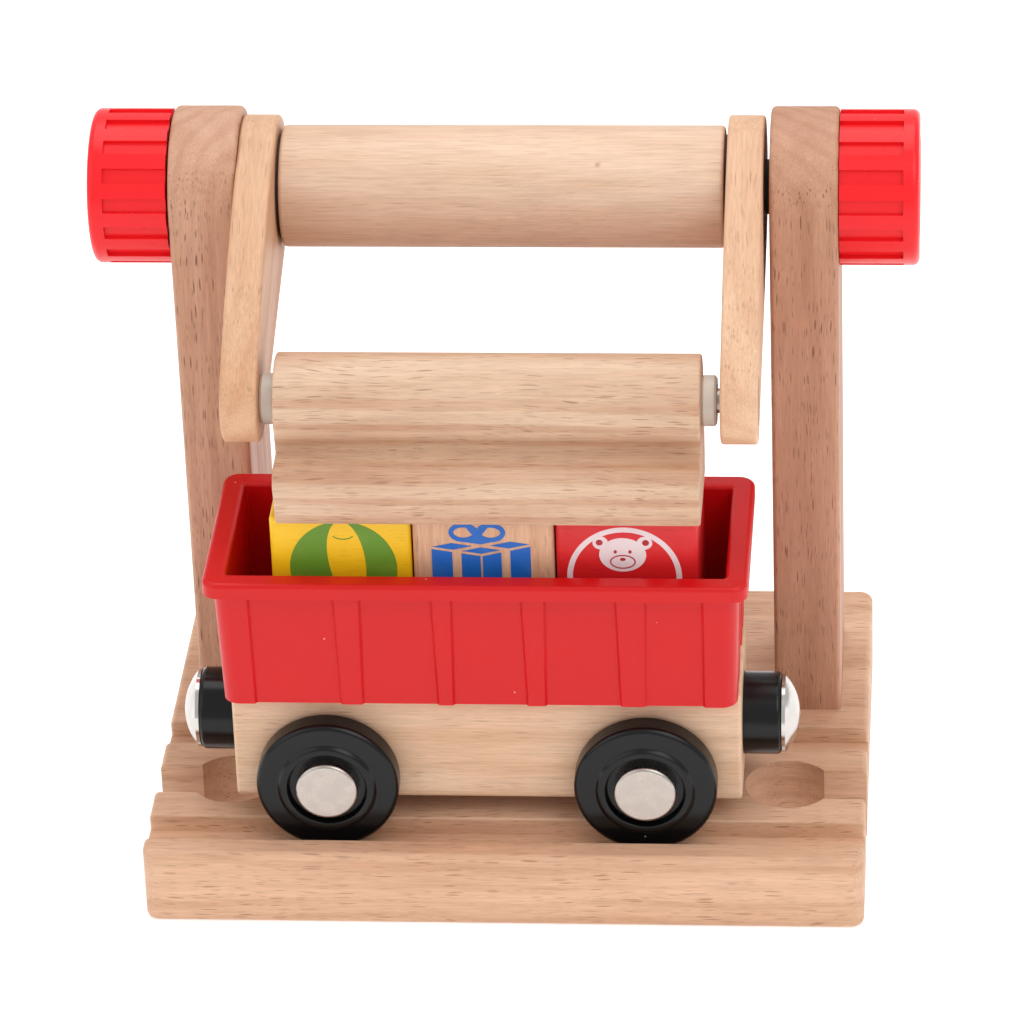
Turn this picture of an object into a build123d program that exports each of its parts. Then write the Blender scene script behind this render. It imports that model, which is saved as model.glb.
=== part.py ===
from build123d import *
import math
import os

# Wooden railway lifting gantry with a tub wagon on its track and three cargo blocks.
# Millimetres, +Z up. The track runs along X, -Y is the side of the track, +Y the side of the posts.
# The origin is on the table, under the middle of the whole object. The arms are in the
# half-lowered position, with the grab just above the cargo blocks.

# ---------------------------------------------------------------- driving dimensions
# side play of the lift: it rests against the left post, so the wooden frame sits to the right of it
SIDE_PLAY = 0.4
ARM_GAP = 0.05
RUNNING_GAP = 0.05

# allowances of the modelling itself: how far a cut runs past a face, how edges are picked out
OVER = 1.0
NEAR = 0.1

# wood and machine screws share these small details
SCREW_TIP_R = 0.3
SCREW_RIM = 0.3

# base with two wheel grooves and a track socket at each end
BASE_L = 105.0
BASE_D = 76.0
BASE_T = 12.0
BASE_CORNER_R = 2.0
BASE_EDGE_R = 0.9
FRONT_STRIP = 4.0
RAIL_GAP = 20.0
GROOVE_W = 6.0
GROOVE_DEPTH = 2.8
GROOVE_EDGE_R = 0.4
SOCKET_R = 6.4
SOCKET_IN = 11.4
NECK_W = 7.6

# posts
POST_T = 9.9
POST_R = 11.7
POST_BACK_IN = 11.8
POST_END_IN = 4.15
AXIS_Z = 94.0
POST_EDGE_R = 0.7
BUSH_WALL = 0.95
POST_SCREW_R = 1.6
POST_SCREW_HEAD_R = 3.2
POST_SCREW_HEAD_H = 1.9
POST_SCREW_L = 26.0
POST_SCREW_SPREAD = 11.0
POST_SCREW_SINK = 0.4

# lift: shaft, knobs, arms and roller turning together in the posts
SHAFT_R = 3.0
SHAFT_CHAMFER = 0.3
KNOB_R = 11.3
KNOB_L = 11.5
KNOB_GAP_LEFT = 0.35
KNOB_GAP_RIGHT = 0.1
KNOB_RIM = 2.3
KNOB_FLUTES = 16
KNOB_FLUTE_ARC = 11.0
KNOB_FLUTE_DEPTH = 0.6
KNOB_EDGE_R = 1.0
KNOB_DISH_R = 7.5
KNOB_DISH_DEPTH = 0.8
KNOB_BORE_DEPTH = 9.0
ARM_T = 5.3
ARM_HEAD_R = 10.4
ARM_TIP_R = 6.2
ARM_BOW = 1.6
ARM_EDGE_R = 0.5
ROLLER_R = 8.9
ROLLER_EDGE_R = 0.6
WASHER_R = 7.6
WASHER_T = 0.5

# grab hanging between the arm tips, outline points as (forward, up) from its pin
GRAB_PLAY = 0.55
PIN_AHEAD = 3.0
GRAB_HEAD_R = 6.65
GRAB_BOTTOM = 15.0
GRAB_NECK = (-5.1, -5.8)
GRAB_SHOULDER = (-8.8, -5.9)
GRAB_FRONT = (-11.3, -8.6)
GRAB_TOE = -10.1
GRAB_TOE_R = 0.8
GRAB_UNDERCUT_DEG = 115.0
GRAB_COVE_BULGE = 0.25
GRAB_BROW_BULGE = -0.78
GRAB_COVE_SPAN = 1.0
GRAB_END_R = 0.4
COLLAR_R = 3.65
COLLAR_T = 2.2
COLLAR_EDGE = 0.35
COLLAR_GAP = 0.05
PIN_R = 1.75
PIN_HEAD_R = 3.4
PIN_HEAD_H = 1.7
PIN_HEAD_SINK = 0.3
PIN_HEAD_PLAY = 0.2
PIN_IN_GRAB = 12.0
MAGNET_R = 3.0
MAGNET_T = 2.5

# wagon
WAGON_X = -1.9
CHASSIS_L = 74.0
CHASSIS_BELOW_AXLE = 4.15
CHASSIS_OVER_WHEEL = 3.35
CHASSIS_EDGE_R = 0.6
WHEELBASE = 46.3
WHEEL_R = 10.4
WHEEL_T = 3.7
WHEEL_LIFT = 0.05
WHEEL_GAP = 0.6
WHEEL_RAIL_GAP = 0.4
WHEEL_INNER_R = 0.35
WHEEL_OUTER_R = 0.9
HUB_RING_R = 7.0
HUB_RING_H = 0.55
HUB_RING_BLEND_R = 0.5
HUB_HOLE_R = 5.5
HUB_HOLE_SLOPE = 0.35
HUB_RECESS = 0.5
CAP_R = 4.55
CAP_OUT = 1.3
CAP_EDGE_R = 0.55
AXLE_R = 1.5
AXLE_CHAMFER = 0.2
AXLE_GAP = 0.08
CUP_R = 6.05
CUP_L = 5.6
CUP_EDGE_R = 0.7
CUP_FLOOR = 2.6
CUP_WALL = 0.85
COUPLER_SCREW_R = 1.3
COUPLER_SCREW_HEAD_R = 2.6
COUPLER_SCREW_HEAD_H = 1.2
COUPLER_SCREW_L = 12.0
COUPLER_GAP = 0.05
COUPLER_CAP_R = 5.7
COUPLER_DOME = 2.6
COUPLER_CAP_FOOT = 0.5

# tub, sized inside by its cargo
TUB_ROOM_L = 9.4
TUB_ROOM_W = 3.1
TUB_H = 21.5
RIM_H = 2.3
RIM_OVERHANG = 1.8
RIM_CORNER_R = 2.4
TUB_SHIFT_X = -0.5
TUB_SHIFT_Y = 0.35
TUB_DRAFT_L = 0.45
TUB_DRAFT_W = 1.35
TUB_WALL = 1.5
TUB_FLOOR = 1.6
TUB_CORNER_R = 2.0
RIM_EDGE_R = 0.7
RIB_H = 0.4
RIB_SLOPE = 0.8
RIB_SPREAD = 0.35
RIB_ROOT = 0.5
SIDE_RIBS = ((-18.4, 2.8), (-4.8, 1.9), (8.3, 2.3), (22.2, 3.2))
END_RIBS = ((-5.0, 2.4), (5.0, 2.4))
RIB_CORNER_W = 4.2
TUB_SCREW_R = 1.4
TUB_SCREW_HEAD_R = 2.7
TUB_SCREW_L = 12.0
TUB_SCREW_SPREAD = 40.0

# cargo blocks
CARGO = 20.2
CARGO_COUNT = 3
CARGO_SPACE = 0.25
CARGO_X = -1.2
CARGO_LIFT = 7.6
CARGO_EDGE_R = 0.7
CARGO_GRAB_GAP = 0.4
PLATE_R = 4.5
PLATE_T = 1.2

# ---------------------------------------------------------------- places that follow
SIDES = {"left": -1, "right": 1}
BASE_FRONT = -BASE_D / 2
BASE_X = SIDE_PLAY
TRACK_Y = BASE_FRONT + FRONT_STRIP + GROOVE_W + RAIL_GAP / 2
GROOVE_FLOOR = BASE_T - GROOVE_DEPTH
POST_OUTER = BASE_L / 2 - POST_END_IN
POST_INNER = POST_OUTER - POST_T
BUSH_R = SHAFT_R + RUNNING_GAP + BUSH_WALL
ARM_OUTER = POST_INNER - SIDE_PLAY - ARM_GAP
ARM_INNER = ARM_OUTER - ARM_T
KNOB_INNER = {-1: POST_OUTER - BASE_X + KNOB_GAP_LEFT, 1: POST_OUTER + BASE_X + KNOB_GAP_RIGHT}
WHEEL_INNER = RAIL_GAP / 2 + WHEEL_RAIL_GAP
WHEEL_OUTER = WHEEL_INNER + WHEEL_T
AXLE_Z = GROOVE_FLOOR + WHEEL_LIFT + WHEEL_R
CHASSIS_W = 2 * (WHEEL_INNER - WHEEL_GAP)
CHASSIS_BOTTOM = AXLE_Z - CHASSIS_BELOW_AXLE
CHASSIS_TOP = AXLE_Z + WHEEL_R + CHASSIS_OVER_WHEEL
COUPLER_Z = (CHASSIS_BOTTOM + CHASSIS_TOP) / 2
TUB_INSIDE_L = CARGO_COUNT * CARGO + (CARGO_COUNT - 1) * CARGO_SPACE + TUB_ROOM_L
TUB_INSIDE_W = CARGO + TUB_ROOM_W
TUB_LOW_L = TUB_INSIDE_L + 2 * TUB_WALL
TUB_LOW_W = TUB_INSIDE_W + 2 * TUB_WALL
TUB_HIGH_L = TUB_LOW_L + 2 * TUB_DRAFT_L
TUB_HIGH_W = TUB_LOW_W + 2 * TUB_DRAFT_W
TUB_PLACE = (WAGON_X + TUB_SHIFT_X, TRACK_Y + TUB_SHIFT_Y, 0)
TUB_FLOOR_TOP = CHASSIS_TOP + TUB_FLOOR
RIM_TOP = CHASSIS_TOP + TUB_H
RIM_BOTTOM = RIM_TOP - RIM_H
CARGO_TOP = TUB_FLOOR_TOP + CARGO_LIFT + CARGO
CARGO_PITCH = CARGO + CARGO_SPACE
CARGO_PLACES = [CARGO_X + (index - (CARGO_COUNT - 1) / 2) * CARGO_PITCH for index in range(CARGO_COUNT)]
GRAB_UNDERSIDE = CARGO_TOP + CARGO_GRAB_GAP
GRAB_LEFT = -ARM_INNER + COLLAR_GAP + COLLAR_T
GRAB_RIGHT = ARM_INNER - GRAB_PLAY - COLLAR_T
AXIS_Y = BASE_D / 2 - POST_BACK_IN - POST_R
PIN_Y = TRACK_Y - PIN_AHEAD
PIN_Z = GRAB_UNDERSIDE + GRAB_BOTTOM


# ---------------------------------------------------------------- helpers
def save(name, shape):
    """Write one node to its own file."""
    export_step(shape, f"parts/{name}.step")


def block(x0, x1, y0, y1, z0, z1):
    """Plain box between two corners."""
    return Pos((x0 + x1) / 2, (y0 + y1) / 2, (z0 + z1) / 2) * Box(x1 - x0, y1 - y0, z1 - z0)


def rod_x(x0, x1, y, z, radius):
    """Round bar along X between two X positions."""
    return Pos((x0 + x1) / 2, y, z) * Rot(0, 90, 0) * Cylinder(radius, abs(x1 - x0))


def rod_y(x, y0, y1, z, radius):
    """Round bar along Y between two Y positions."""
    return Pos(x, (y0 + y1) / 2, z) * Rot(90, 0, 0) * Cylinder(radius, abs(y1 - y0))


def half_section(outline, place):
    """Face of a half section; an outline point is (along, radius) or (along, radius, corner rounding)."""
    corners = [point[2] if len(point) > 2 else 0 for point in outline]
    points = [place(point[0], point[1]) for point in outline]
    return make_face(FilletPolyline(*points, radius=corners, close=True).edges())


def turned_x(outline, x, y, z, side):
    """Solid of revolution about the X line through (y, z), measured along it from x."""
    face = half_section(outline, lambda along, radius: (x + side * along, radius))
    return Pos(0, y, z) * revolve(face, Axis.X)


def turned_y(outline, x, y, z, side):
    """Solid of revolution about the Y line through (x, z), measured along it from y."""
    face = half_section(outline, lambda along, radius: (radius, y + side * along))
    return Pos(x, 0, z) * revolve(face, Axis.Y)


def turned_z(outline, x, y, z, side):
    """Solid of revolution about the Z line through (x, y), measured along it from z."""
    face = Plane.XZ * half_section(outline, lambda along, radius: (radius, z + side * along))
    return Pos(x, y, 0) * revolve(face, Axis.Z)


def sunk_screw(radius, head_radius, head_height, length):
    """Half section of a countersunk screw, from the top of its head down its shank."""
    return [
        (0, 0),
        (0, head_radius),
        (SCREW_RIM, head_radius),
        (head_height, radius),
        (length - radius, radius),
        (length, SCREW_TIP_R),
        (length, 0),
    ]


def bowed(start, end, bulge):
    """Arc from start to end whose middle stands off its chord by bulge, to the left if positive."""
    run, rise = end[0] - start[0], end[1] - start[1]
    length = math.hypot(run, rise)
    middle = (
        (start[0] + end[0]) / 2 - bulge * rise / length,
        (start[1] + end[1]) / 2 + bulge * run / length,
    )
    return ThreePointArc(start, middle, end)


def yz_plate(face, x0, x1):
    """Thicken a face drawn in (Y, Z) from one X position to another."""
    return Pos(x0, 0, 0) * extrude(Plane.YZ * face, x1 - x0)


# ---------------------------------------------------------------- base and posts
def post_screw_places():
    """Two screws under each post, one behind the other."""
    places = []
    for side in SIDES.values():
        x = BASE_X + side * (POST_INNER + POST_T / 2)
        places.append((x, AXIS_Y - POST_SCREW_SPREAD / 2))
        places.append((x, AXIS_Y + POST_SCREW_SPREAD / 2))
    return places


def post_screws():
    """Countersunk wood screws that come up through the base into the posts."""
    outline = sunk_screw(POST_SCREW_R, POST_SCREW_HEAD_R, POST_SCREW_HEAD_H, POST_SCREW_L)
    return Compound([turned_z(outline, x, y, POST_SCREW_SINK, 1) for x, y in post_screw_places()])


def base_track():
    """Slab with two wheel grooves along X and a round socket with a neck cut through at each end."""
    slab = block(-BASE_L / 2, BASE_L / 2, -BASE_D / 2, BASE_D / 2, 0, BASE_T)
    slab = fillet(slab.edges().filter_by(Axis.Z), BASE_CORNER_R)
    slab = fillet(slab.faces().sort_by(Axis.Z)[-1].edges(), BASE_EDGE_R)
    slab = fillet(slab.faces().sort_by(Axis.Z)[0].edges(), BASE_EDGE_R)
    for side in (-1, 1):
        inner = TRACK_Y + side * RAIL_GAP / 2
        outer = inner + side * GROOVE_W
        y0, y1 = sorted((inner, outer))
        slab -= block(-BASE_L, BASE_L, y0, y1, GROOVE_FLOOR, BASE_T + OVER)
    top_edges = slab.faces().filter_by(Axis.Z).group_by(Axis.Z)[-1].edges().filter_by(Axis.X)
    brows = [RAIL_GAP / 2, RAIL_GAP / 2 + GROOVE_W]
    groove_edges = [e for e in top_edges if min(abs(abs(e.center().Y - TRACK_Y) - b) for b in brows) < NEAR]
    slab = fillet(groove_edges, GROOVE_EDGE_R)
    for side in (-1, 1):
        end = side * BASE_L / 2
        middle = end - side * SOCKET_IN
        slab -= Pos(middle, TRACK_Y, BASE_T / 2) * Cylinder(SOCKET_R, BASE_T + 2 * OVER)
        x0, x1 = sorted((middle, end + side * OVER))
        slab -= block(x0, x1, TRACK_Y - NECK_W / 2, TRACK_Y + NECK_W / 2, -OVER, BASE_T + OVER)
    slab = Pos(BASE_X, 0, 0) * slab
    screw_hole = [
        (-POST_SCREW_SINK - OVER, 0),
        (-POST_SCREW_SINK - OVER, POST_SCREW_HEAD_R),
        (SCREW_RIM, POST_SCREW_HEAD_R),
        (POST_SCREW_HEAD_H, POST_SCREW_R),
        (BASE_T + OVER, POST_SCREW_R),
        (BASE_T + OVER, 0),
    ]
    for x, y in post_screw_places():
        slab -= turned_z(screw_hole, x, y, POST_SCREW_SINK, 1)
    return slab


def post(side):
    """Upright board with a round top, bored for the bush of the lift's shaft."""
    left = AXIS_Y - POST_R
    right = AXIS_Y + POST_R
    outline = [
        Line((left, BASE_T), (right, BASE_T)),
        Line((right, BASE_T), (right, AXIS_Z)),
        ThreePointArc((right, AXIS_Z), (AXIS_Y, AXIS_Z + POST_R), (left, AXIS_Z)),
        Line((left, AXIS_Z), (left, BASE_T)),
    ]
    x0, x1 = sorted((BASE_X + side * POST_INNER, BASE_X + side * POST_OUTER))
    board = yz_plate(make_face(outline), x0, x1)
    rounded = [e for e in board.edges() if e.bounding_box().max.Z > BASE_T + NEAR]
    board = fillet(rounded, POST_EDGE_R)
    board -= rod_x(x0 - OVER, x1 + OVER, AXIS_Y, AXIS_Z, BUSH_R)
    for x, y in post_screw_places():
        if x * side > 0:
            shank = sunk_screw(POST_SCREW_R, POST_SCREW_HEAD_R, POST_SCREW_HEAD_H, POST_SCREW_L)
            board -= turned_z(shank, x, y, POST_SCREW_SINK, 1)
    return board


def post_bush(side):
    """Plain bush in the post; on the loose side it also fills the gap to the arm."""
    arm_face = side * ARM_OUTER
    inner = BASE_X + side * POST_INNER
    start = inner if abs(arm_face - inner) < 2 * ARM_GAP else arm_face + side * ARM_GAP
    end = BASE_X + side * POST_OUTER
    bush = rod_x(start, end, AXIS_Y, AXIS_Z, BUSH_R)
    return bush - rod_x(start - side, end + side, AXIS_Y, AXIS_Z, SHAFT_R + RUNNING_GAP)


# ---------------------------------------------------------------- lift
def lift_shaft():
    """Round steel shaft pressed into both knobs, both arms and the roller."""
    left_end = -KNOB_INNER[-1] - KNOB_BORE_DEPTH
    right_end = KNOB_INNER[1] + KNOB_BORE_DEPTH
    shaft = rod_x(left_end, right_end, AXIS_Y, AXIS_Z, SHAFT_R)
    return chamfer(shaft.edges().filter_by(GeomType.CIRCLE), SHAFT_CHAMFER)


def knob(side):
    """Fluted cap on the shaft end; the flutes stop short of a plain rounded rim."""
    inner = KNOB_INNER[side]
    outer = inner + KNOB_L
    body = rod_x(side * inner, side * outer, AXIS_Y, AXIS_Z, KNOB_R)
    edge = [e for e in body.edges().filter_by(GeomType.CIRCLE) if abs(e.center().X) > outer - NEAR]
    body = fillet(edge, KNOB_EDGE_R)
    body -= rod_x(side * (outer - KNOB_DISH_DEPTH), side * (outer + OVER), AXIS_Y, AXIS_Z, KNOB_DISH_R)
    bore_end = side * (inner + KNOB_BORE_DEPTH)
    body -= rod_x(side * (inner - OVER), bore_end, AXIS_Y, AXIS_Z, SHAFT_R)
    half_arc = math.radians(KNOB_FLUTE_ARC / 2)
    floor = KNOB_R - KNOB_FLUTE_DEPTH
    reach = KNOB_R + OVER
    sector = make_face(
        Polyline(
            (floor * math.sin(-half_arc), floor * math.cos(half_arc)),
            (reach * math.sin(-half_arc), reach * math.cos(half_arc)),
            (reach * math.sin(half_arc), reach * math.cos(half_arc)),
            (floor * math.sin(half_arc), floor * math.cos(half_arc)),
            close=True,
        ).edges()
    )
    x0, x1 = sorted((side * (inner - OVER), side * (outer - KNOB_RIM)))
    flute = yz_plate(sector, x0, x1)
    turn = 360.0 / KNOB_FLUTES
    for index in range(KNOB_FLUTES):
        body -= Pos(0, AXIS_Y, AXIS_Z) * Rot(turn * (index + 0.5), 0, 0) * flute
    return body


def arm_outline():
    """Side view of an arm: a large round head, a small round tip and a slightly bowed upper edge."""
    reach, drop = PIN_Y - AXIS_Y, PIN_Z - AXIS_Z
    length = math.hypot(reach, drop)
    along = (reach / length, drop / length)
    up = (along[1], -along[0])
    lean = (ARM_HEAD_R - ARM_TIP_R) / length
    spread = math.sqrt(1 - lean * lean)

    def touch(centre, radius, sign):
        return (
            centre[0] + radius * (along[0] * lean + sign * up[0] * spread),
            centre[1] + radius * (along[1] * lean + sign * up[1] * spread),
        )

    head = (AXIS_Y, AXIS_Z)
    tip = (PIN_Y, PIN_Z)
    head_up = touch(head, ARM_HEAD_R, 1)
    head_low = touch(head, ARM_HEAD_R, -1)
    tip_up = touch(tip, ARM_TIP_R, 1)
    tip_low = touch(tip, ARM_TIP_R, -1)
    head_far = (head[0] - ARM_HEAD_R * along[0], head[1] - ARM_HEAD_R * along[1])
    tip_far = (tip[0] + ARM_TIP_R * along[0], tip[1] + ARM_TIP_R * along[1])
    return make_face(
        [
            ThreePointArc(head_low, head_far, head_up),
            bowed(head_up, tip_up, -ARM_BOW),
            ThreePointArc(tip_up, tip_far, tip_low),
            Line(tip_low, head_low),
        ]
    )


def arm(side):
    """Swing arm, pressed on the shaft, with a counterbored clearance hole for the grab's pin."""
    x0, x1 = sorted((side * ARM_INNER, side * ARM_OUTER))
    plate = yz_plate(arm_outline(), x0, x1)
    plate = fillet(plate.edges(), ARM_EDGE_R)
    plate -= rod_x(x0 - OVER, x1 + OVER, AXIS_Y, AXIS_Z, SHAFT_R)
    plate -= rod_x(x0 - OVER, x1 + OVER, PIN_Y, PIN_Z, PIN_R + RUNNING_GAP)
    seat = side * (ARM_OUTER - PIN_HEAD_SINK - PIN_HEAD_H - ARM_GAP)
    plate -= rod_x(seat, side * (ARM_OUTER + OVER), PIN_Y, PIN_Z, PIN_HEAD_R + PIN_HEAD_PLAY)
    return plate


def roller():
    """Turned roller on the shaft between the arms."""
    half = ARM_INNER - WASHER_T
    body = rod_x(-half, half, AXIS_Y, AXIS_Z, ROLLER_R)
    body = fillet(body.edges().filter_by(GeomType.CIRCLE), ROLLER_EDGE_R)
    return body - rod_x(-half - OVER, half + OVER, AXIS_Y, AXIS_Z, SHAFT_R)


def roller_washer(side):
    """Thin dark washer between the roller and an arm."""
    inner = side * (ARM_INNER - WASHER_T)
    outer = side * ARM_INNER
    disc = rod_x(inner, outer, AXIS_Y, AXIS_Z, WASHER_R)
    return disc - rod_x(inner - side, outer + side, AXIS_Y, AXIS_Z, SHAFT_R)


# ---------------------------------------------------------------- grab
def grab_block():
    """Wooden bar: a round head on the pins, a cove in front, a thick foot and a flat back and underside."""

    def at(forward, up):
        return (PIN_Y + forward, PIN_Z + up)

    under = math.radians(GRAB_UNDERCUT_DEG)
    crown = (under - math.pi / 2) / 2
    back_top = at(GRAB_HEAD_R, 0)
    top = at(-GRAB_HEAD_R * math.sin(crown), GRAB_HEAD_R * math.cos(crown))
    undercut = at(-GRAB_HEAD_R * math.sin(under), GRAB_HEAD_R * math.cos(under))
    neck, shoulder, brow = at(*GRAB_NECK), at(*GRAB_SHOULDER), at(*GRAB_FRONT)
    toe = at(GRAB_TOE, GRAB_TOE_R - GRAB_BOTTOM)
    sole = at(GRAB_TOE + GRAB_TOE_R, -GRAB_BOTTOM)
    heel = at(GRAB_HEAD_R, -GRAB_BOTTOM)
    outline = [
        ThreePointArc(back_top, top, undercut),
        bowed(undercut, neck, GRAB_COVE_BULGE),
        Line(neck, shoulder),
        bowed(shoulder, brow, GRAB_BROW_BULGE),
        Line(brow, toe),
        bowed(toe, sole, -GRAB_TOE_R * (1 - math.sqrt(0.5))),
        Line(sole, heel),
        Line(heel, back_top),
    ]
    bar = yz_plate(make_face(outline), GRAB_LEFT, GRAB_RIGHT)
    ends = [e for face in bar.faces().filter_by(Axis.X) for e in face.edges()]
    cove_z = (undercut[1] + neck[1]) / 2
    bar = fillet([e for e in ends if abs(e.center().Z - cove_z) > GRAB_COVE_SPAN], GRAB_END_R)
    for start, inward in ((GRAB_LEFT, 1), (GRAB_RIGHT, -1)):
        bar -= rod_x(start - inward * OVER, start + inward * PIN_IN_GRAB, PIN_Y, PIN_Z, PIN_R)
    for x in CARGO_PLACES:
        bar -= magnet(x)
    return bar


def magnet(x):
    """Disc magnet flush with the underside of the grab, above a cargo block."""
    return Pos(x, TRACK_Y, GRAB_UNDERSIDE + MAGNET_T / 2) * Cylinder(MAGNET_R, MAGNET_T)


def grab_magnets():
    """One disc magnet above each cargo block."""
    return Compound([magnet(x) for x in CARGO_PLACES])


def grab_collar(side):
    """Nylon collar on the pin, tight against the grab's end."""
    start = GRAB_RIGHT if side > 0 else GRAB_LEFT
    outline = [
        (0, PIN_R),
        (0, COLLAR_R - COLLAR_EDGE),
        (COLLAR_EDGE, COLLAR_R),
        (COLLAR_T - COLLAR_EDGE, COLLAR_R),
        (COLLAR_T, COLLAR_R - COLLAR_EDGE),
        (COLLAR_T, PIN_R),
    ]
    return turned_x(outline, start, PIN_Y, PIN_Z, side)


def grab_pin(side):
    """Pan-head screw: head sunk in the arm, shank turning in the arm, point held in the grab."""
    start = GRAB_RIGHT if side > 0 else GRAB_LEFT
    depth = PIN_IN_GRAB
    head = ARM_OUTER - PIN_HEAD_SINK - abs(start)
    outline = [
        (-depth, 0),
        (-depth, SCREW_TIP_R),
        (-depth + PIN_R, PIN_R),
        (head - PIN_HEAD_H, PIN_R),
        (head - PIN_HEAD_H, PIN_HEAD_R),
        (head, PIN_HEAD_R, PIN_HEAD_H / 2),
        (head, 0),
    ]
    return turned_x(outline, start, PIN_Y, PIN_Z, side)


# ---------------------------------------------------------------- wagon
def coupler_screw_outline():
    """Half section of the screw that holds a coupler cup, from the outside of its head inwards."""
    return [
        (0, 0),
        (0, COUPLER_SCREW_HEAD_R),
        (-COUPLER_SCREW_HEAD_H, COUPLER_SCREW_HEAD_R),
        (-COUPLER_SCREW_HEAD_H, COUPLER_SCREW_R),
        (-COUPLER_SCREW_L + COUPLER_SCREW_R, COUPLER_SCREW_R),
        (-COUPLER_SCREW_L, SCREW_TIP_R),
        (-COUPLER_SCREW_L, 0),
    ]


def chassis_end(side):
    """X position of a chassis end."""
    return WAGON_X + side * CHASSIS_L / 2


def coupler_screw(side):
    """Screw through the bottom of the coupler cup into the chassis."""
    cup_bottom = chassis_end(side) + side * CUP_FLOOR
    return turned_x(coupler_screw_outline(), cup_bottom, TRACK_Y, COUPLER_Z, side)


def tub_screw_places():
    """The tub is held by two screws on the centre line."""
    return [WAGON_X - TUB_SCREW_SPREAD / 2, WAGON_X + TUB_SCREW_SPREAD / 2]


def tub_screw_outline():
    """Half section of a countersunk screw in the floor of the tub."""
    return sunk_screw(TUB_SCREW_R, TUB_SCREW_HEAD_R, TUB_FLOOR, TUB_SCREW_L)


def tub_screws():
    """Two countersunk screws from the floor of the tub down into the chassis."""
    outline = tub_screw_outline()
    return Compound([turned_z(outline, x, TRACK_Y, TUB_FLOOR_TOP, -1) for x in tub_screw_places()])


def chassis():
    """Wooden block between the wheels, bored for two axles."""
    x0, x1 = chassis_end(-1), chassis_end(1)
    y0, y1 = TRACK_Y - CHASSIS_W / 2, TRACK_Y + CHASSIS_W / 2
    body = block(x0, x1, y0, y1, CHASSIS_BOTTOM, CHASSIS_TOP)
    body = fillet(body.edges(), CHASSIS_EDGE_R)
    for side in (-1, 1):
        x = WAGON_X + side * WHEELBASE / 2
        body -= rod_y(x, y0 - OVER, y1 + OVER, AXLE_Z, AXLE_R + AXLE_GAP)
        body -= coupler_screw(side)
    return body - tub_screws()


def rounded_slab(low_size, high_size, radius, z0, z1):
    """Slab with rounded corners about the tub's middle, from its size at the bottom to that at the top."""
    bottom = Plane.XY.offset(z0) * RectangleRounded(*low_size, radius)
    top = Plane.XY.offset(z1) * RectangleRounded(*high_size, radius)
    return Pos(*TUB_PLACE) * loft([bottom, top])


def grown(size, margin):
    """Length and width with the same margin added all round."""
    return (size[0] + 2 * margin, size[1] + 2 * margin)


def drafted(low_points, high_points):
    """Solid between two outlines in plan, one at the tub's foot and one under its rim."""
    low = Plane.XY.offset(CHASSIS_TOP) * make_face(Polyline(*low_points, close=True).edges())
    high = Plane.XY.offset(RIM_BOTTOM) * make_face(Polyline(*high_points, close=True).edges())
    return loft([low, high], ruled=True)


def rib_plan(wall, place, width, side, along_x):
    """Plan of one rib: a trapezoid from inside the wall out to the rib's flat crown."""
    root, crown = wall - RIB_ROOT, wall + RIB_H
    half = width / 2
    points = [
        (place - half - RIB_SLOPE, side * root),
        (place + half + RIB_SLOPE, side * root),
        (place + half, side * crown),
        (place - half, side * crown),
    ]
    return points if along_x else [(across, along) for along, across in points]


def rib(low_wall, high_wall, place, width, side, along_x):
    """Rib that leans with the wall and grows a little wider towards the rim."""
    return drafted(
        rib_plan(low_wall, place, width, side, along_x),
        rib_plan(high_wall, place, width + 2 * RIB_SPREAD, side, along_x),
    )


def corner_plan(length, width, end, edge, reach):
    """Plan that cuts a corner pad out of the rib coat, with sloped flanks on both walls."""
    x, y = length / 2, width / 2
    far = x + y
    points = [
        (x - reach - RIB_SLOPE, y - RIB_ROOT),
        (x - reach, y + RIB_H),
        (x - reach, far),
        (far, far),
        (far, y - reach),
        (x + RIB_H, y - reach),
        (x - RIB_ROOT, y - reach - RIB_SLOPE),
        (x - RIB_ROOT, y - RIB_ROOT),
    ]
    return [(end * a, edge * b) for a, b in points]


def tub_ribs():
    """Shallow ribs on the long sides and ends, and a pad round each upright corner."""
    pieces = []
    for side in (-1, 1):
        for place, width in SIDE_RIBS:
            pieces.append(rib(TUB_LOW_W / 2, TUB_HIGH_W / 2, place, width, side, True))
        for place, width in END_RIBS:
            pieces.append(rib(TUB_LOW_L / 2, TUB_HIGH_L / 2, place, width, side, False))
    for end in (-1, 1):
        for edge in (-1, 1):
            low_plan = corner_plan(TUB_LOW_L, TUB_LOW_W, end, edge, RIB_CORNER_W)
            high_plan = corner_plan(TUB_HIGH_L, TUB_HIGH_W, end, edge, RIB_CORNER_W + RIB_SPREAD)
            pieces.append(drafted(low_plan, high_plan))
    low_coat, high_coat = grown((TUB_LOW_L, TUB_LOW_W), RIB_H), grown((TUB_HIGH_L, TUB_HIGH_W), RIB_H)
    coat = rounded_slab(low_coat, high_coat, TUB_CORNER_R + RIB_H, CHASSIS_TOP, RIM_BOTTOM)
    return [coat & (Pos(*TUB_PLACE) * piece) for piece in pieces]


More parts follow.
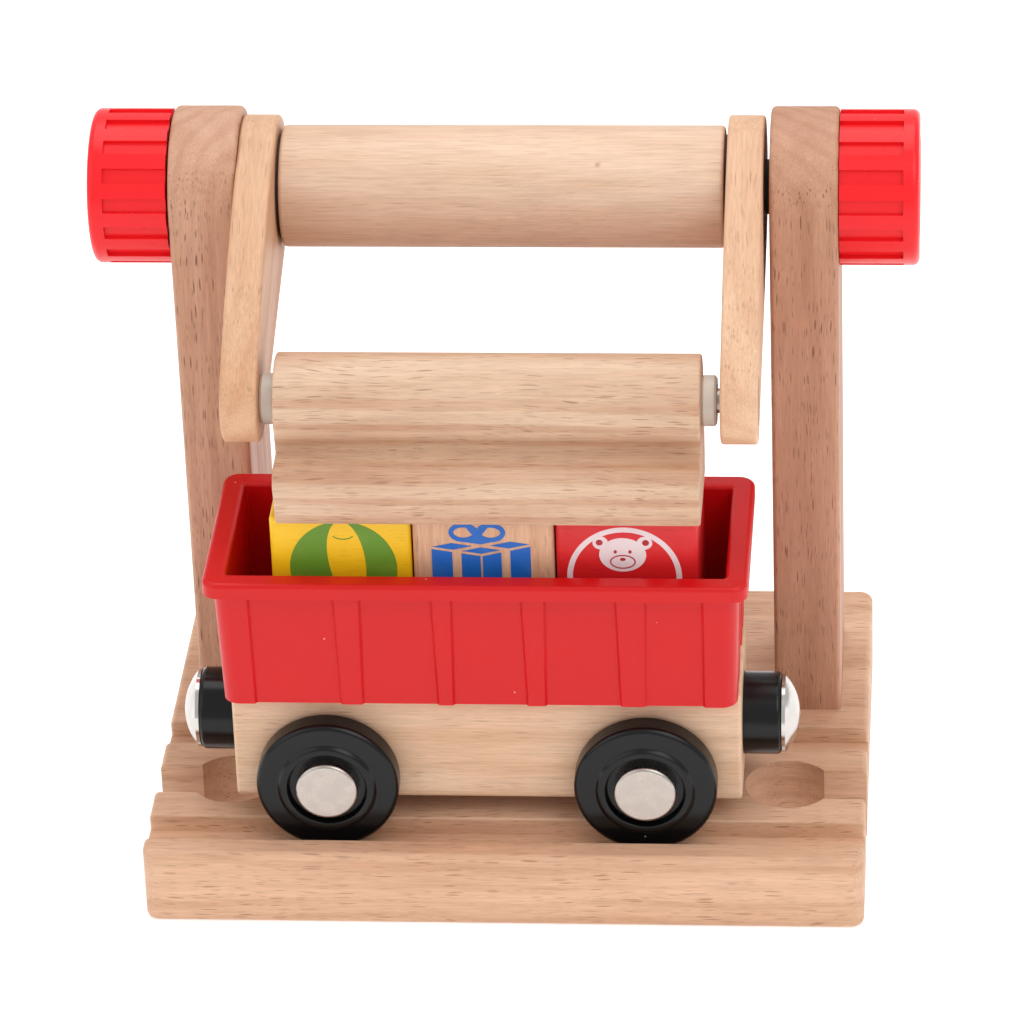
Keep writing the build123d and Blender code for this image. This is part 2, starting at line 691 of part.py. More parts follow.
def tub():
    """Moulded hopper: drafted walls, flat floor, outside ribs and a turned-out rim."""
    low, high = (TUB_LOW_L, TUB_LOW_W), (TUB_HIGH_L, TUB_HIGH_W)
    body = rounded_slab(low, high, TUB_CORNER_R, CHASSIS_TOP, RIM_BOTTOM)
    for piece in tub_ribs():
        body += piece
    rim = grown(high, RIM_OVERHANG)
    body += rounded_slab(rim, rim, RIM_CORNER_R, RIM_BOTTOM, RIM_TOP)
    inside_r = TUB_CORNER_R - TUB_WALL
    body -= rounded_slab(grown(low, -TUB_WALL), grown(high, -TUB_WALL), inside_r, TUB_FLOOR_TOP, RIM_TOP)
    brim = body.faces().filter_by(Axis.Z).sort_by(Axis.Z)[-1].edges()
    body = fillet(brim, RIM_EDGE_R)
    return body - tub_screws()


def axle(place):
    """Steel pin carrying two wheels."""
    half = WHEEL_OUTER + HUB_RING_H
    pin = rod_y(place, TRACK_Y - half, TRACK_Y + half, AXLE_Z, AXLE_R)
    return chamfer(pin.edges().filter_by(GeomType.CIRCLE), AXLE_CHAMFER)


def wheel(place, side):
    """Moulded wheel: rounded tread edges, a raised ring round the hub and a recess for the hub cap."""
    floor = WHEEL_T - HUB_RECESS
    outline = [
        (0, AXLE_R),
        (0, WHEEL_R, WHEEL_INNER_R),
        (WHEEL_T, WHEEL_R, WHEEL_OUTER_R),
        (WHEEL_T, HUB_RING_R + HUB_RING_BLEND_R / 2, HUB_RING_BLEND_R / 2),
        (WHEEL_T + HUB_RING_H, HUB_RING_R - HUB_RING_BLEND_R / 2, HUB_RING_BLEND_R),
        (WHEEL_T + HUB_RING_H, HUB_HOLE_R + HUB_HOLE_SLOPE, HUB_RING_BLEND_R / 2),
        (floor, HUB_HOLE_R),
        (floor, AXLE_R),
    ]
    return turned_y(outline, place, TRACK_Y + side * WHEEL_INNER, AXLE_Z, side)


def hub_cap(place, side):
    """Flat-topped metal cap with a rounded edge, pressed on the axle end."""
    foot = WHEEL_OUTER - HUB_RECESS
    top = WHEEL_OUTER + CAP_OUT - foot
    seat = WHEEL_OUTER + HUB_RING_H - foot
    outline = [
        (0, AXLE_R),
        (0, CAP_R),
        (top, CAP_R, CAP_EDGE_R),
        (top, 0),
        (seat, 0),
        (seat, AXLE_R),
    ]
    return turned_y(outline, place, TRACK_Y + side * foot, AXLE_Z, side)


def coupler_cup(side):
    """Black cup on the chassis end that holds a magnet loosely."""
    bore = CUP_R - CUP_WALL
    outline = [
        (0, 0),
        (0, CUP_R),
        (CUP_L, CUP_R, CUP_EDGE_R),
        (CUP_L, bore),
        (CUP_FLOOR, bore),
        (CUP_FLOOR, 0),
    ]
    cup = turned_x(outline, chassis_end(side), TRACK_Y, COUPLER_Z, side)
    return cup - coupler_screw(side)


def coupler_magnet(side):
    """Disc magnet that turns in the cup."""
    start = CUP_FLOOR + COUPLER_GAP
    radius = CUP_R - CUP_WALL - COUPLER_GAP
    outline = [(start, 0), (start, radius), (CUP_L + COUPLER_GAP, radius), (CUP_L + COUPLER_GAP, 0)]
    return turned_x(outline, chassis_end(side), TRACK_Y, COUPLER_Z, side)


def coupler_cap(side):
    """Domed steel cap on the magnet, turning with it."""
    x0 = chassis_end(side) + side * (CUP_L + COUPLER_GAP)
    rim = x0 + side * COUPLER_CAP_FOOT
    tip = x0 + side * COUPLER_DOME
    rise = COUPLER_DOME - COUPLER_CAP_FOOT
    sphere = (rise**2 + COUPLER_CAP_R**2) / (2 * rise)
    half_turn = math.asin(COUPLER_CAP_R / sphere) / 2
    middle = (tip - side * sphere * (1 - math.cos(half_turn)), sphere * math.sin(half_turn))
    profile = make_face(
        [
            Line((x0, 0), (x0, COUPLER_CAP_R)),
            Line((x0, COUPLER_CAP_R), (rim, COUPLER_CAP_R)),
            ThreePointArc((rim, COUPLER_CAP_R), middle, (tip, 0)),
            Line((tip, 0), (x0, 0)),
        ]
    )
    return Pos(0, TRACK_Y, COUPLER_Z) * revolve(profile, Axis.X)


# ---------------------------------------------------------------- cargo
def cargo_plate(x):
    """Steel disc flush with the top of a cargo block, for the grab's magnet."""
    return Pos(x, TRACK_Y, CARGO_TOP - PLATE_T / 2) * Cylinder(PLATE_R, PLATE_T)


def cargo_block(x):
    """Wooden cube with softened edges."""
    cube = Pos(x, TRACK_Y, CARGO_TOP - CARGO / 2) * Box(CARGO, CARGO, CARGO)
    return fillet(cube.edges(), CARGO_EDGE_R) - cargo_plate(x)


# ---------------------------------------------------------------- write every node
os.makedirs("parts", exist_ok=True)
save("base_track", base_track())
save("post_screws", post_screws())
save("lift_shaft", lift_shaft())
save("roller", roller())
save("grab_block", grab_block())
save("grab_magnets", grab_magnets())
save("chassis", chassis())
save("tub", tub())
save("tub_screws", tub_screws())
for side_name, side in SIDES.items():
    save(f"post_{side_name}", post(side))
    save(f"post_bush_{side_name}", post_bush(side))
    save(f"knob_{side_name}", knob(side))
    save(f"arm_{side_name}", arm(side))
    save(f"roller_washer_{side_name}", roller_washer(side))
    save(f"grab_collar_{side_name}", grab_collar(side))
    save(f"grab_pin_{side_name}", grab_pin(side))
    save(f"coupler_cup_{side_name}", coupler_cup(side))
    save(f"coupler_screw_{side_name}", coupler_screw(side))
    save(f"coupler_magnet_{side_name}", coupler_magnet(side))
    save(f"coupler_cap_{side_name}", coupler_cap(side))
    axle_x = WAGON_X + side * WHEELBASE / 2
    save(f"axle_{side_name}", axle(axle_x))
    for row_name, row in (("front", -1), ("back", 1)):
        save(f"wheel_{side_name}_{row_name}", wheel(axle_x, row))
        save(f"hub_cap_{side_name}_{row_name}", hub_cap(axle_x, row))
for colour, cargo_x in zip(("yellow", "natural", "red"), CARGO_PLACES):
    save(f"cargo_{colour}", cargo_block(cargo_x))
    save(f"cargo_plate_{colour}", cargo_plate(cargo_x))
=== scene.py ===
"""Looks of a toy railway lifting gantry with a tub wagon and three cargo blocks.

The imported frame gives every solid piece, and this script finishes each one as the material it is
made of, adds the printed pictures on the cargo blocks, and sets up the floor, lights and camera.
"""

import math

import bmesh
import bpy
import numpy as np
from mathutils import Matrix, Vector


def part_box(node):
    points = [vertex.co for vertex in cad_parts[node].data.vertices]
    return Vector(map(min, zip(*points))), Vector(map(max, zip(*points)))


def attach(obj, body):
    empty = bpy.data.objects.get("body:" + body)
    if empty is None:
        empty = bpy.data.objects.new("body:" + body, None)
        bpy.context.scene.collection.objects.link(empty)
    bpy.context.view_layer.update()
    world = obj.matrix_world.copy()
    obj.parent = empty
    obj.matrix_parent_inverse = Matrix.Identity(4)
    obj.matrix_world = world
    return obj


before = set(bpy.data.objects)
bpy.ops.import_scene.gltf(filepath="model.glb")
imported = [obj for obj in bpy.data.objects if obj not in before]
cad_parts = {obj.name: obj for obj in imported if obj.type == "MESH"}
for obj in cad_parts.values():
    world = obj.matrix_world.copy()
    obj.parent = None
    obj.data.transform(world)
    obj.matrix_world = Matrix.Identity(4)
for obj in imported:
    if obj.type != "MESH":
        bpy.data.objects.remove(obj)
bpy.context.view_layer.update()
scene = bpy.context.scene
scene.view_settings.view_transform = "Standard"
MM = 0.001
PER_METRE = 1000


# ---------------------------------------------------------------- colours and nodes
def linear(hex_colour):
    """Turn an sRGB hex colour such as "E0B491" into linear red, green, blue and full alpha."""
    parts = [int(hex_colour[i:i + 2], 16) / 255 for i in (0, 2, 4)]
    parts = [c / 12.92 if c <= 0.04045 else ((c + 0.055) / 1.055) ** 2.4 for c in parts]
    return (*parts, 1.0)


def add(tree, kind, links=None, values=None, **settings):
    """Add one node: settings are its properties, values its socket defaults, links its inputs."""
    made = tree.nodes.new(kind)
    for key, value in settings.items():
        setattr(made, key, value)
    for socket, value in (values or {}).items():
        made.inputs[socket].default_value = value
    for socket, source in (links or {}).items():
        tree.links.new(source, made.inputs[socket])
    return made


def new_material(name, **shader):
    """Empty material with one Principled shader, whose sockets are set by name."""
    made = bpy.data.materials.new(name)
    made.use_nodes = True
    tree = made.node_tree
    tree.nodes.clear()
    surface = add(tree, "ShaderNodeBsdfPrincipled", values=shader)
    add(tree, "ShaderNodeOutputMaterial", links={"Surface": surface.outputs["BSDF"]})
    return made, tree, surface


def millimetres(tree, shift=(0, 0, 0), turn=(0, 0, 0)):
    """Object coordinates in millimetres, turned so the pattern's X lies as wanted, then shifted."""
    place = add(tree, "ShaderNodeTexCoord").outputs["Object"]
    turned = add(
        tree, "ShaderNodeMapping", links={"Vector": place},
        values={"Scale": (PER_METRE,) * 3, "Rotation": turn, "Location": shift},
    )
    return turned.outputs["Vector"]


def stretched(tree, place, scale):
    """The same place with a scale of its own along each pattern axis, in patterns per millimetre."""
    made = add(tree, "ShaderNodeMapping", links={"Vector": place}, values={"Scale": scale})
    return made.outputs["Vector"]


def noise(tree, place, scale, detail=2.0, rough=0.5):
    """Soft random value from 0 to 1, with so many lumps per millimetre along each axis."""
    made = add(
        tree, "ShaderNodeTexNoise", links={"Vector": stretched(tree, place, scale)},
        values={"Scale": 1.0, "Detail": detail, "Roughness": rough},
    )
    return made.outputs["Fac"]


def ramp(tree, value, low, high, to_low=0.0, to_high=1.0):
    """Spread a value from low..high to to_low..to_high, smoothly and clamped."""
    made = add(
        tree, "ShaderNodeMapRange", links={"Value": value}, interpolation_type="SMOOTHSTEP",
        values={"From Min": low, "From Max": high, "To Min": to_low, "To Max": to_high},
    )
    return made.outputs["Result"]


def calc(tree, operation, first, second):
    """One sum on two values, either of which may be a plain number."""
    made = add(tree, "ShaderNodeMath", operation=operation)
    for index, value in enumerate((first, second)):
        if isinstance(value, (int, float)):
            made.inputs[index].default_value = value
        else:
            tree.links.new(value, made.inputs[index])
    return made.outputs["Value"]


def random_share(tree, cells):
    """The random value from 0 to 1 that a Voronoi pattern gives each of its cells."""
    parted = add(tree, "ShaderNodeSeparateColor", links={"Color": cells.outputs["Color"]})
    return parted.outputs["Red"]


# Socket numbers of the Mix node in its colour form, where names repeat between the forms.
MIX_SHARE, MIX_FIRST, MIX_SECOND, MIX_RESULT = 0, 6, 7, 2


def blend(tree, share, first, second, how="MIX"):
    """Mix two colours, each a socket or a hex colour, by a share that is a socket or a number."""
    made = add(tree, "ShaderNodeMix", data_type="RGBA", blend_type=how)
    for socket, value in ((MIX_SHARE, share), (MIX_FIRST, first), (MIX_SECOND, second)):
        if isinstance(value, str):
            made.inputs[socket].default_value = linear(value)
        elif isinstance(value, (int, float)):
            made.inputs[socket].default_value = value
        else:
            tree.links.new(value, made.inputs[socket])
    return made.outputs[MIX_RESULT]


def bump(tree, surface, height, distance_mm, strength=1.0):
    """Feed a height from 0 to 1 into the shader's normal, for a relief of so many millimetres."""
    made = add(
        tree, "ShaderNodeBump", links={"Height": height},
        values={"Strength": strength, "Distance": distance_mm * MM},
    )
    tree.links.new(made.outputs["Normal"], surface.inputs["Normal"])


# ---------------------------------------------------------------- wood
QUARTER = math.pi / 2
ALONG_X = (0, 0, 0)
ALONG_Z = (0, QUARTER, 0)


def flecks(tree, place, length, width, seen):
    """Lens-shaped dashes along X: one per stretched cell, each cell with a strength of its own."""
    cells = add(
        tree, "ShaderNodeTexVoronoi", values={"Scale": 1.0, "Randomness": 0.9},
        links={"Vector": stretched(tree, place, (1 / length, 1 / width, 1 / width))},
    )
    dash = ramp(tree, cells.outputs["Distance"], 0.18, 0.36, 1.0, 0.0)
    return calc(tree, "MULTIPLY", dash, ramp(tree, random_share(tree, cells), 1 - seen, 1.0))


def grain_facing(tree, turn):
    """How squarely a face looks along the grain: 0 on the long faces and 1 on the end grain."""
    normal = add(tree, "ShaderNodeTexCoord").outputs["Normal"]
    turned = add(tree, "ShaderNodeMapping", links={"Vector": normal}, values={"Rotation": turn})
    parted = add(tree, "ShaderNodeSeparateXYZ", links={"Vector": turned.outputs["Vector"]})
    return calc(tree, "ABSOLUTE", parted.outputs["X"], 0.0)


# How far the grain wanders off a straight line, across it, in millimetres.
GRAIN_SWAY = (0, 9, 7)
# The Wave texture repeats this many times per unit at a scale of 1, over a full turn.
WAVES_PER_UNIT = 20 / (2 * math.pi)
# Share of the tone's swing that goes into a piece's deeper colour.
TONE_SHARE = 0.6
# Short flecks beside the long ones: their length, width and strength against a long fleck's.
SHORT_FLECK = (0.6, 0.62, 0.6)
END_GRAIN_FLECKS = 0.15
KNOT_COLOUR = "A97A52"
GRAIN_RELIEF_MM = 0.04


def beech(
    name, pale, deep, turn=ALONG_X, shift=(0, 0, 0), rings=2.6, ring_share=0.25, pores=0.6,
    pore_colour="8A5A38", pore_length=5.2, pore_width=0.38, pore_seen=0.8, knot=None,
):
    """Sanded beech: close grain with soft growth bands and short dark pore flecks along the grain.

    Growth rings are cylinders about a pith line outside the piece, so faces across the grain show
    arcs and faces along it show bands. Flecks are a few millimetres long and a fifth of one wide.
    Real pores are finer still, so these are drawn as coarse as they need to be to show. A knot is
    a brown spot with a soft edge, given as its middle and radius in millimetres.
    """
    made, tree, surface = new_material(name, IOR=1.5)
    place = millimetres(tree, shift, turn)
    sway = noise(tree, place, (0.018, 0.05, 0.05), 2)
    wander = add(tree, "ShaderNodeCombineXYZ", links={"Y": sway, "Z": sway}).outputs["Vector"]
    swayed = add(
        tree, "ShaderNodeVectorMath", operation="MULTIPLY_ADD",
        links={0: wander, 2: place}, values={1: GRAIN_SWAY},
    ).outputs["Vector"]
    growth = add(
        tree, "ShaderNodeTexWave", wave_type="RINGS", rings_direction="X", wave_profile="SIN",
        links={"Vector": stretched(tree, swayed, (0.12, 1, 1))},
        values={
            "Scale": 1 / WAVES_PER_UNIT / rings, "Distortion": 1.6, "Detail": 2.0, "Detail Scale": 0.6,
        },
    ).outputs["Fac"]
    tone = noise(tree, place, (0.02, 0.16, 0.16), 4, 0.55)
    fibre = noise(tree, place, (0.16, 3.6, 3.6), 4, 0.65)

    shorter, narrower, fainter = SHORT_FLECK
    long_flecks = flecks(tree, swayed, pore_length, pore_width, pore_seen)
    short_flecks = flecks(tree, swayed, shorter * pore_length, narrower * pore_width, pore_seen)
    crowd = ramp(tree, noise(tree, place, (0.05, 0.3, 0.3), 2), 0.30, 0.60, 0.45, 1.0)
    across = ramp(tree, grain_facing(tree, turn), 0.3, 0.8, 1.0, END_GRAIN_FLECKS)
    fleck = calc(tree, "MAXIMUM", long_flecks, calc(tree, "MULTIPLY", short_flecks, fainter))
    fleck = calc(tree, "MULTIPLY", fleck, calc(tree, "MULTIPLY", crowd, across))

    bands = calc(tree, "MULTIPLY", ramp(tree, growth, 0.45, 1.0), ring_share)
    clouds = calc(tree, "MULTIPLY", ramp(tree, tone, 0.3, 0.7), TONE_SHARE)
    colour = blend(tree, calc(tree, "ADD", bands, clouds), pale, deep)
    grainy = ramp(tree, fibre, 0.28, 0.72, 0.86, 1.06)
    colour = add(
        tree, "ShaderNodeVectorMath", operation="SCALE", links={0: colour, "Scale": grainy},
    ).outputs["Vector"]
    if knot:
        centre, radius = knot
        away = add(
            tree, "ShaderNodeVectorMath", operation="DISTANCE",
            links={0: millimetres(tree)}, values={1: centre},
        ).outputs["Value"]
        ragged = calc(tree, "MULTIPLY", noise(tree, place, (0.8, 0.8, 0.8), 2), 0.9)
        away = calc(tree, "ADD", away, ragged)
        spot = ramp(tree, away, 0.6 * radius, 2.4 * radius, 0.85, 0.0)
        colour = blend(tree, spot, colour, KNOT_COLOUR)
    colour = blend(tree, calc(tree, "MULTIPLY", fleck, pores), colour, pore_colour)

    tree.links.new(colour, surface.inputs["Base Color"])
    tree.links.new(ramp(tree, tone, 0.2, 0.8, 0.46, 0.60), surface.inputs["Roughness"])
    relief = calc(tree, "SUBTRACT", calc(tree, "MULTIPLY", fibre, 0.35), fleck)
    bump(tree, surface, relief, GRAIN_RELIEF_MM, 0.5)
    return made


# ---------------------------------------------------------------- plastic, metal, paint
ABS_HAZE = 0.05
# Dust lies on a lattice of so many specks per millimetre, of which this share is left out.
DUST_PER_MM = 0.33
DUST_LEFT_OUT = 0.72


def moulded(name, colour, rough, peel_mm=0.012, dust=0.0, dust_colour="F4B8B0", **shader):
    """Injection-moulded ABS: an even gloss with faint waviness, a hazy bloom and specks of dust."""
    made, tree, surface = new_material(name, IOR=1.53, **shader)
    place = millimetres(tree)
    cloud = noise(tree, place, (0.09, 0.09, 0.09), 3)
    coat = blend(tree, ramp(tree, cloud, 0.1, 0.9, 0.0, 0.12), colour, "FFFFFF", "SOFT_LIGHT")
    if dust:
        cells = add(
            tree, "ShaderNodeTexVoronoi", links={"Vector": place},
            values={"Scale": DUST_PER_MM, "Randomness": 1.0},
        )
        picked = calc(tree, "GREATER_THAN", random_share(tree, cells), DUST_LEFT_OUT)
        spot = ramp(tree, cells.outputs["Distance"], 0.03, 0.06, 1.0, 0.0)
        speck = calc(tree, "MULTIPLY", spot, picked)
        coat = blend(tree, calc(tree, "MULTIPLY", speck, dust), coat, dust_colour)
    tree.links.new(coat, surface.inputs["Base Color"])
    gloss = ramp(tree, cloud, 0.1, 0.9, rough - ABS_HAZE, rough + ABS_HAZE)
    tree.links.new(gloss, surface.inputs["Roughness"])
    bump(tree, surface, noise(tree, place, (0.3, 0.3, 0.3), 1), peel_mm)
    return made


TARNISH = "8C8780"
HAIRLINE_MM = 0.002


def metal(name, colour, rough, scratch=0.05):
    """Plated or bright steel: fine roughness changes from handling and hairline scratches."""
    made, tree, surface = new_material(name, Metallic=1.0)
    place = millimetres(tree)
    cloud = noise(tree, place, (0.7, 0.7, 0.7), 3)
    hair = noise(tree, place, (0.5, 14, 14), 2)
    plate = blend(tree, ramp(tree, cloud, 0.3, 0.7, 0.0, 0.12), colour, TARNISH)
    tree.links.new(plate, surface.inputs["Base Color"])
    handled = ramp(tree, cloud, 0.3, 0.7, rough - 0.03, rough + 0.05)
    scratched = calc(tree, "MULTIPLY", ramp(tree, hair, 0.6, 0.75), scratch)
    tree.links.new(calc(tree, "ADD", handled, scratched), surface.inputs["Roughness"])
    bump(tree, surface, hair, HAIRLINE_MM, 0.6)
    return made


def painted(name, colour, under, shade):
    """Water-based paint on a beech block: thin, with the grain and pores telling through it."""
    made, tree, surface = new_material(name, IOR=1.5)
    place = millimetres(tree)
    tone = noise(tree, place, (0.05, 0.3, 0.3), 3)
    fleck = ramp(tree, noise(tree, place, (0.5, 3.6, 3.6), 1, 0.4), 0.62, 0.72)
    layer = blend(tree, ramp(tree, tone, 0.3, 0.7, 0.0, 0.35), colour, shade)
    layer = blend(tree, calc(tree, "MULTIPLY", fleck, 0.35), layer, under)
    tree.links.new(layer, surface.inputs["Base Color"])
    tree.links.new(ramp(tree, tone, 0.2, 0.8, 0.36, 0.5), surface.inputs["Roughness"])
    bump(tree, surface, calc(tree, "SUBTRACT", tone, fleck), 0.03, 0.5)
    return made


def ink(name, colour, worn):
    """Pad-printed ink: matt and nearly even, a little thin and speckled where the wood is rough."""
    made, tree, surface = new_material(name, IOR=1.5)
    place = millimetres(tree)
    cloud = noise(tree, place, (0.25, 0.25, 0.25), 3)
    grit = noise(tree, place, (3.2, 3.2, 3.2), 2)
    thin = ramp(tree, cloud, 0.45, 0.8, 0.0, 0.25)
    speckled = ramp(tree, grit, 0.66, 0.78, 0.0, 0.35)
    layer = blend(tree, calc(tree, "ADD", thin, speckled), colour, worn)
    tree.links.new(layer, surface.inputs["Base Color"])
    tree.links.new(ramp(tree, grit, 0.3, 0.7, 0.42, 0.58), surface.inputs["Roughness"])
    bump(tree, surface, grit, 0.006, 0.7)
    return made


# ---------------------------------------------------------------- carried-over pieces
CREASE_ANGLE = math.radians(32)
WELD_WITHIN = 0.001 * MM
LARGE_FACE_WEIGHT = 60


def dress(material, *names):
    """Give CAD pieces their material and smooth their curved faces, keeping creases sharp."""
    for name in names:
        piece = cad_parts[name]
        piece.data.materials.clear()
        piece.data.materials.append(material)
        piece.data.shade_smooth()
        weld = piece.modifiers.new("weld", "WELD")
        weld.merge_threshold = WELD_WITHIN
        crease = piece.modifiers.new("crease", "EDGE_SPLIT")
        crease.split_angle = CREASE_ANGLE
        even = piece.modifiers.new("even", "WEIGHTED_NORMAL")
        even.mode = "FACE_AREA"
        even.weight = LARGE_FACE_WEIGHT


def sides(*stems):
    """Names of the left and right piece of each stem."""
    return [f"{stem}_{side}" for stem in stems for side in ("left", "right")]


def corners(stem):
    """Names of the four pieces at the wheels."""
    return [f"{stem}_{side}_{row}" for side in ("left", "right") for row in ("front", "back")]


pin_low, pin_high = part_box("grab_pin_left")
shaft_low, shaft_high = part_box("lift_shaft")
shaft = (shaft_low + shaft_high) / 2
pin = (pin_low + pin_high) / 2
arm_slope = math.atan2(shaft.z - pin.z, shaft.y - pin.y)

# Bare beech, sanded on flat faces and turned on the roller: warm, matt and close-grained.
# Each piece has its own colours and its own shift in millimetres, so no two show the same grain.
dress(
    beech("sanded beech base", "DDB393", "C39574", shift=(0, 46, 61), rings=3.1, pores=0.7),
    "base_track",
)
post_wood = dict(turn=ALONG_Z, pores=0.85, pore_colour="6A3E2A", pore_length=4.2)
dress(
    beech("sanded beech left post", "CC9D80", "B37E60", shift=(8, 52, 34), **post_wood),
    "post_left",
)
dress(
    beech("sanded beech right post", "C69477", "AC7759", shift=(31, -47, 58), **post_wood),
    "post_right",
)
arm_wood = dict(turn=(-arm_slope, 0, -QUARTER), rings=3.4, pores=0.5, pore_colour="9A683F")
dress(
    beech("sanded beech left arm", "D8AC89", "C6916B", shift=(5, 37, -40), **arm_wood),
    "arm_left",
)
dress(
    beech("sanded beech right arm", "E0B795", "CD9A77", shift=(17, -33, 48), **arm_wood),
    "arm_right",
)
knot_middle, knot_radius = (14.1, 8.5, 100.6), 0.5
roller_wood = dict(rings=4.4, ring_share=0.12, pores=0.22, knot=(knot_middle, knot_radius))
dress(
    beech("turned beech roller", "E3C3AA", "D0A686", shift=(9, 61, 22), **roller_wood),
    "roller",
)
grab_wood = dict(rings=3.3, ring_share=0.4, pores=0.7, pore_colour="855636", pore_seen=0.95)
dress(
    beech("sanded beech grab", "D9B89B", "B98868", shift=(3, -28, 36), **grab_wood),
    "grab_block",
)
dress(
    beech("sanded beech chassis", "E6C3A4", "D1A783", shift=(27, 44, -51), rings=4.0, pores=0.35),
    "chassis",
)
dress(
    beech("sanded beech block", "EBC09E", "D49D77", shift=(3, 21, 33), turn=ALONG_Z, pores=0.4),
    "cargo_natural",
)

# Toy paint on wood: strong flat colour with a soft sheen, slightly deeper where it lies thick.
dress(painted("yellow paint on beech", "F9C915", "DA9E0C", "F8C00A"), "cargo_yellow")
dress(painted("red paint on beech", "DE2024", "B4181C", "CB181C"), "cargo_red")

# Moulded ABS: saturated and smooth, with a soft highlight. The tub's wall is thin enough to glow.
knob_red = moulded("red ABS knob", "E81C22", 0.30, dust=0.35, **{"Specular IOR Level": 0.25})
dress(knob_red, *sides("knob"))
thin_wall = {
    "Specular IOR Level": 0.28, "Subsurface Weight": 0.35,
    "Subsurface Radius": (6 * MM, 0.5 * MM, 0.5 * MM),
}
dress(moulded("red ABS tub", "C80C10", 0.34, dust=0.8, **thin_wall), "tub")
black = moulded(
    "black ABS", "090A0C", 0.22, dust=0.6, dust_colour="A8A8A8", **{"Specular IOR Level": 0.27},
)
dress(black, *corners("wheel"), *sides("coupler_cup"))

# Washers and bushes are dull and rough, and their near-black colour is painted shade: it stands for the
# shadow in the narrow gaps between arm, roller and post. Nylon collars are milky, with soft edges.
dress(moulded("painted gap shade", "2E1F18", 0.6, peel_mm=0.03), *sides("roller_washer", "post_bush"))
soft_nylon = {"Subsurface Weight": 0.25, "Subsurface Radius": (1.0 * MM, 1.0 * MM, 0.8 * MM)}
dress(moulded("nylon collar", "CFC6BA", 0.42, **soft_nylon), *sides("grab_collar"))

# Nickel plate is warm and bright, satin where handled. Zinc plate is greyer, with more scratches.
dress(metal("satin nickel plate", "B9B0A8", 0.27), *corners("hub_cap"))
dress(metal("bright nickel plate", "CCC8C4", 0.15), *sides("coupler_cap"))
zinc = metal("zinc-plated steel", "B9B6B0", 0.30, scratch=0.12)
turned_steel = sides("grab_pin", "coupler_screw", "axle")
dress(zinc, "post_screws", "tub_screws", "lift_shaft", *turned_steel)
dress(zinc, *[f"cargo_plate_{colour}" for colour in ("yellow", "natural", "red")])
dress(metal("nickel-plated magnet", "A9A7A3", 0.34), "grab_magnets", *sides("coupler_magnet"))


# ---------------------------------------------------------------- printed pictures
# Ink stands a little proud of the paint, drawn thicker than real, and its back is sunk in it.
INK_PROUD = 0.03 * MM
INK_LAYER = 0.004 * MM
INK_SUNK = 0.02 * MM


def slab(left, right, proud):
    """Thin closed slab between two lines of points, given as arrays of (across, up).

    Its front is the grid that runs straight from each left point to the right point at the same
    step, its back is the same grid behind it, and a band of faces closes the edge all round.
    """
    steps = len(left)
    flat = np.concatenate([left, right])
    count = len(flat)
    front = np.column_stack([flat[:, 0], np.full(count, -proud), flat[:, 1]])
    back = np.column_stack([flat[:, 0], np.full(count, INK_SUNK), flat[:, 1]])
    step = np.arange(steps - 1)
    quads = np.column_stack([step, step + steps, step + steps + 1, step + 1])
    rim = np.concatenate([np.arange(steps), np.arange(steps)[::-1] + steps])
    following = np.roll(rim, -1)
    band = np.column_stack([rim, following, following + count, rim + count])
    return np.concatenate([front, back]), np.concatenate([quads, quads[:, ::-1] + count, band])


def picture(name, parts, material, node, body, first=0):
    """Put ink slabs, drawn in millimetres about a block's middle, on its front and its back face.

    Each part stands one thin layer prouder than the part before it, so that parts may overlap, and
    a picture over another one starts at a layer above that one's last.
    """
    low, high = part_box(node)
    middle = (low + high) / 2
    points, faces, total = [], [], 0
    for facing in (1, -1):
        face_y = low.y if facing > 0 else high.y
        for layer, (left, right) in enumerate(parts, first):
            proud = INK_PROUD + layer * INK_LAYER
            vertices, quads = slab(np.asarray(left, float) * MM, np.asarray(right, float) * MM, proud)
            vertices = vertices * (facing, facing, 1) + (middle.x, face_y, middle.z)
            points.append(vertices)
            faces.append(quads + total)
            total += len(vertices)
    mesh = bpy.data.meshes.new(name)
    mesh.from_pydata(np.concatenate(points).tolist(), [], np.concatenate(faces).tolist())
    made = bpy.data.objects.new(name, mesh)
    scene.collection.objects.link(made)
    mend = bmesh.new()
    mend.from_mesh(mesh)
    bmesh.ops.recalc_face_normals(mend, faces=mend.faces)
    mend.to_mesh(mesh)
    mend.free()
    mesh.materials.append(material)
    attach(made, body)
    return made


def arc(middle, radii, start, stop, steps=48):
    """Points on an ellipse from one angle to another, in degrees from straight up, clockwise."""
    angle = np.radians(np.linspace(start, stop, steps))
    return np.column_stack([middle[0] + radii[0] * np.sin(angle), middle[1] + radii[1] * np.cos(angle)])


def disc(middle, radii, steps=40):
    """A filled ellipse as its left and right halves."""
    return arc(middle, radii, 0, -180, steps), arc(middle, radii, 0, 180, steps)


def stroke(line, width):
    """A line of points thickened to a band: half the width to each side, square to its run."""
    run = np.gradient(line, axis=0)
    run = run / np.linalg.norm(run, axis=1)[:, None]
    off = np.column_stack([-run[:, 1], run[:, 0]]) * width / 2
    return line + off, line - off


def ring(middle, radius, width, steps=96):
    """A closed ring drawn as one long stroke."""
    return stroke(arc(middle, (radius, radius), 0, 360, steps), width)


def straight(start, stop, steps=2):
    """Evenly spaced points from one place to another."""
    share = np.linspace(0, 1, steps)[:, None]
    return np.asarray(start) * (1 - share) + np.asarray(stop) * share


def patch(corner, across, along, u, v):
    """Flat panel: a share u of one edge by a share v of the other, both measured from a corner."""
    corner, across, along = (np.asarray(given, float) for given in (corner, across, along))
    starts = [corner + across * share for share in u]
    return tuple(straight(start + along * v[0], start + along * v[1]) for start in starts)


